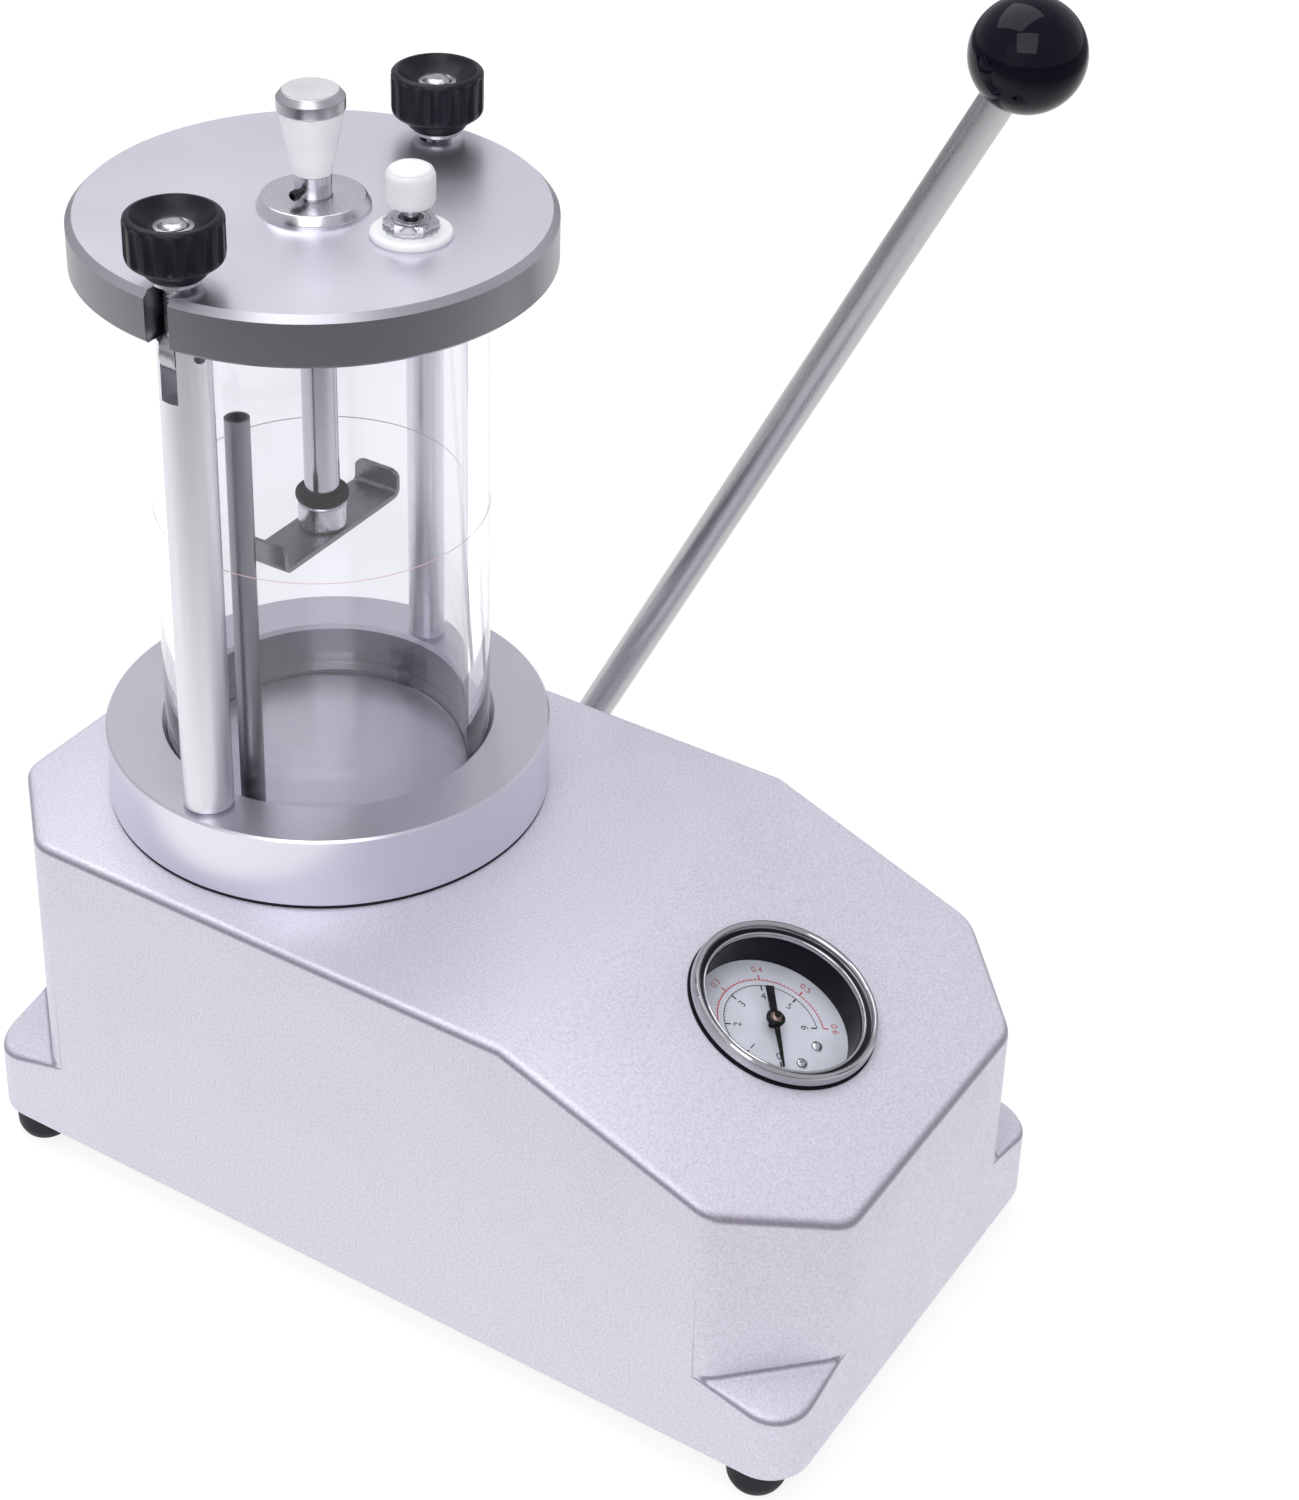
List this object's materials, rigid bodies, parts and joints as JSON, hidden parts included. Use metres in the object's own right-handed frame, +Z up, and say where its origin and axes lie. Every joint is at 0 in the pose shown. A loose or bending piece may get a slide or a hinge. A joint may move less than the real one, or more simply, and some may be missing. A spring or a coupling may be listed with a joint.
{
  "type": "watch water resistance pressure tester",
  "caption": "Hand-pumped water resistance tester for watches: cast housing, lever pump, clear chamber with clamped lid, watch holder and pressure gauge.",
  "frame": {"origin": "centre of the overall box on the plane of the feet; the housing and chamber middle plane is at x = -13.75 mm because the lever stands out on the right", "axes": "+X to the operator's right (lever side), +Y from the gauge end to the chamber end, +Z up"},
  "size_m": [0.1474, 0.2256, 0.2964],
  "materials": {
    "cast_paint": "silver hammered paint, satin",
    "zinc_plate": "zinc plated",
    "rubber": "matte",
    "ring_aluminium": "satin, fine turned",
    "lid_aluminium": "satin, fine turned",
    "post_aluminium": "satin anodised",
    "acrylic": "clear polished",
    "pipe_steel": "dull drawn",
    "polished_steel": "polished",
    "handle_aluminium": "satin turned",
    "black_steel": "blackened",
    "strip_steel": "brushed",
    "screw_steel": "plain",
    "black_plastic": "semi-matte moulded",
    "white_plastic": "smooth",
    "gauge_black": "black enamel",
    "chrome": "polished",
    "lens_glass": "clear",
    "dial_white": "printed white",
    "pointer_black": "black",
    "lever_steel": "brushed along its length",
    "gloss_black": "high gloss",
    "bronze": "sintered",
    "pump_aluminium": "machined",
    "hose_black": "matte"
  },
  "bodies": {
    "base": {"housing": "cast_paint", "bottom_plate": "zinc_plate", "bottom_screws": "screw_steel", "foot_front_left": "rubber", "foot_front_right": "rubber", "foot_rear_left": "rubber", "foot_rear_right": "rubber", "chamber_ring": "ring_aluminium", "ring_gasket": "rubber", "ring_screws": "screw_steel", "tube_seal": "rubber", "chamber_tube": "acrylic", "air_pipe": "pipe_steel", "post_left": "post_aluminium", "post_right": "post_aluminium", "hinge_pins": "screw_steel", "gauge_case": "gauge_black", "gauge_bezel": "chrome", "gauge_lens": "lens_glass", "gauge_dial": "dial_white", "dial_screws": "polished_steel", "gauge_clamp": "zinc_plate", "shaft_bushes": "bronze", "bearing_block": "zinc_plate", "pump_cylinder": "pump_aluminium", "air_line": "hose_black"},
    "lid": {"lid": "lid_aluminium", "lid_gasket": "rubber", "gland_bush": "polished_steel", "gland_seal": "rubber", "valve_washer": "white_plastic", "valve_nut": "polished_steel", "valve_body": "polished_steel"},
    "holder_lift": {"bumper_ring": "rubber"},
    "holder": {"holder_rod": "polished_steel", "handle": "handle_aluminium", "handle_set_screw": "black_steel", "rod_end_cap": "polished_steel", "holder_strip": "strip_steel"},
    "valve_button": {"valve_button": "white_plastic", "valve_stem": "polished_steel"},
    "bolt_left": {"swing_bolt_left": "black_steel"},
    "bolt_right": {"swing_bolt_right": "black_steel"},
    "clamp_left": {"clamp_washer_left": "polished_steel"},
    "clamp_right": {"clamp_washer_right": "polished_steel"},
    "knob_left": {"clamp_knob_left": "black_plastic", "knob_insert_left": "polished_steel"},
    "knob_right": {"clamp_knob_right": "black_plastic", "knob_insert_right": "polished_steel"},
    "pointer": {"gauge_pointer": "pointer_black"},
    "lever": {"lever_rod": "lever_steel", "ball_knob": "gloss_black", "lever_hub": "lever_steel", "cross_shaft": "screw_steel", "shaft_clip": "black_steel", "crank_arm": "screw_steel", "crank_pin": "screw_steel"},
    "piston": {"piston_rod": "screw_steel", "piston": "pump_aluminium", "piston_seal": "rubber"}
  },
  "joints": [
    {"name": "lever_swing", "type": "hinge", "parent": "base", "child": "lever", "pos_m": [-0.01375, 0.0433, 0.0446], "axis": [1, 0, 0], "range_deg": [-35, 35]},
    {"name": "piston_stroke", "type": "slide", "parent": "base", "child": "piston", "axis": [0, -1, 0], "range_m": [-0.0107, 0.0107]},
    {"name": "lid_play", "type": "slide", "parent": "base", "child": "lid", "axis": [0, 0, 1], "range_m": [0, 0.0006]},
    {"name": "holder_height", "type": "slide", "parent": "lid", "child": "holder_lift", "axis": [0, 0, 1], "range_m": [0, 0.0542]},
    {"name": "holder_turn", "type": "hinge", "parent": "holder_lift", "child": "holder", "pos_m": [-0.01375, 0.051, 0.2], "axis": [0, 0, 1], "continuous": true},
    {"name": "valve_press", "type": "slide", "parent": "lid", "child": "valve_button", "axis": [0, 0, -1], "range_m": [0, 0.0015], "stiffness_N_per_m": 800},
    {"name": "pointer_turn", "type": "hinge", "parent": "base", "child": "pointer", "pos_m": [-0.01375, -0.07335, 0.08251], "axis": [0, 0.3473, -0.9378], "range_deg": [0, 270], "stiffness_Nm_per_rad": 0.00002},
    {"name": "bolt_left_swing", "type": "hinge", "parent": "base", "child": "bolt_left", "pos_m": [-0.05935, 0.051, 0.2291], "axis": [0, -1, 0], "range_deg": [0, 105]},
    {"name": "clamp_left_travel", "type": "slide", "parent": "bolt_left", "child": "clamp_left", "axis": [0, 0, 1], "range_m": [-0.001, 0.0015]},
    {"name": "knob_left_spin", "type": "hinge", "parent": "clamp_left", "child": "knob_left", "pos_m": [-0.05935, 0.051, 0.248], "axis": [0, 0, -1], "range_deg": [-540.1, 360.1]},
    {"name": "bolt_right_swing", "type": "hinge", "parent": "base", "child": "bolt_right", "pos_m": [0.03185, 0.051, 0.2291], "axis": [0, 1, 0], "range_deg": [0, 105]},
    {"name": "clamp_right_travel", "type": "slide", "parent": "bolt_right", "child": "clamp_right", "axis": [0, 0, 1], "range_m": [-0.001, 0.0015]},
    {"name": "knob_right_spin", "type": "hinge", "parent": "clamp_right", "child": "knob_right", "pos_m": [0.03185, 0.051, 0.248], "axis": [0, 0, -1], "range_deg": [-540.1, 360.1]}
  ],
  "couplings": [
    {"joint": "piston_stroke", "follows": "lever_swing", "m_per_rad": 0.01728},
    {"joint": "knob_left_spin", "follows": "clamp_left_travel", "rad_per_m": -6283.2},
    {"joint": "knob_right_spin", "follows": "clamp_right_travel", "rad_per_m": -6283.2}
  ]
}
